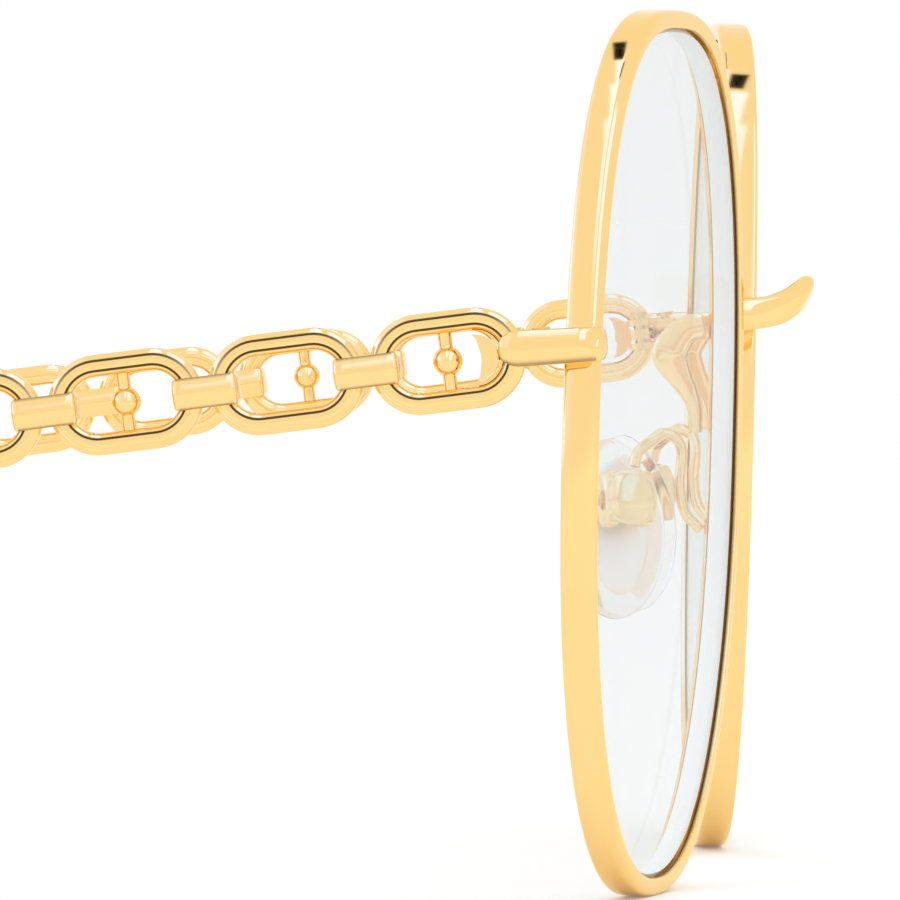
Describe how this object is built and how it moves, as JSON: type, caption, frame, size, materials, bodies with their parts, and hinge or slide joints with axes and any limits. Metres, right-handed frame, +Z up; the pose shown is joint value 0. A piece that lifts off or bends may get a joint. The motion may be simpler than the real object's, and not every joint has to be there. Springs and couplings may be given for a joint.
{
  "type": "round sunglasses",
  "caption": "Oversized round metal sunglasses with clear tinted lenses, clear nose pads and folding chain-link temples.",
  "frame": {"origin": "on the table under the middle of the bounding box, with the temples open and the part standing on its rims and temple tips", "axes": "+Z up, -Y where the lenses face, +Y along the temples to the ears, +X towards the wearer's left"},
  "size_m": [0.1418, 0.1518, 0.0612],
  "materials": {
    "gold": "polished pale gold",
    "screw": "bright turned gold",
    "lens": "clear, faintly grey",
    "pad": "clear silicone",
    "tip": "polished champagne"
  },
  "bodies": {
    "front": {"bridge": "gold", "bridge_claw_right": "gold", "bridge_claw_left": "gold", "rim_right": "gold", "rim_left": "gold", "lens_right": "lens", "lens_left": "lens", "end_piece_right": "gold", "end_piece_left": "gold", "rim_lock_upper_right": "gold", "rim_lock_upper_left": "gold", "rim_lock_lower_right": "gold", "rim_lock_lower_left": "gold", "lock_screw_right": "screw", "lock_screw_left": "screw", "hinge_screw_right": "screw", "hinge_screw_left": "screw", "pad_arm_right": "gold", "pad_arm_left": "gold", "pad_box_right": "gold", "pad_box_left": "gold", "pad_screw_right": "screw", "pad_screw_left": "screw"},
    "nose_pad_right_body": {"nose_pad_right": "pad", "pad_insert_right": "gold"},
    "nose_pad_left_body": {"nose_pad_left": "pad", "pad_insert_left": "gold"},
    "temple_right": {"temple_leaf_right": "gold", "link_1_right": "gold", "link_2_right": "gold", "link_3_right": "gold", "link_4_right": "gold", "link_5_right": "gold", "link_6_right": "gold", "connector_1_right": "gold", "connector_2_right": "gold", "connector_3_right": "gold", "connector_4_right": "gold", "connector_5_right": "gold", "connector_6_right": "gold", "temple_arm_right": "gold", "temple_tip_right": "tip"},
    "temple_left": {"temple_leaf_left": "gold", "link_1_left": "gold", "link_2_left": "gold", "link_3_left": "gold", "link_4_left": "gold", "link_5_left": "gold", "link_6_left": "gold", "connector_1_left": "gold", "connector_2_left": "gold", "connector_3_left": "gold", "connector_4_left": "gold", "connector_5_left": "gold", "connector_6_left": "gold", "temple_arm_left": "gold", "temple_tip_left": "tip"}
  },
  "joints": [
    {"name": "temple_right_fold", "type": "hinge", "parent": "front", "child": "temple_right", "pos_m": [-0.06675, -0.05913, 0.0378], "axis": [0, -0.1253, -0.9921], "range_deg": [0, 78]},
    {"name": "temple_left_fold", "type": "hinge", "parent": "front", "child": "temple_left", "pos_m": [0.06675, -0.05913, 0.0378], "axis": [0, 0.1253, 0.9921], "range_deg": [0, 90]},
    {"name": "nose_pad_right_rock", "type": "hinge", "parent": "front", "child": "nose_pad_right_body", "pos_m": [-0.0103, -0.06295, 0.02677], "axis": [-0.3746, 0.9272, 0], "range_deg": [-8, 8]},
    {"name": "nose_pad_left_rock", "type": "hinge", "parent": "front", "child": "nose_pad_left_body", "pos_m": [0.0103, -0.06295, 0.02677], "axis": [0.3746, 0.9272, 0], "range_deg": [-8, 8]}
  ]
}
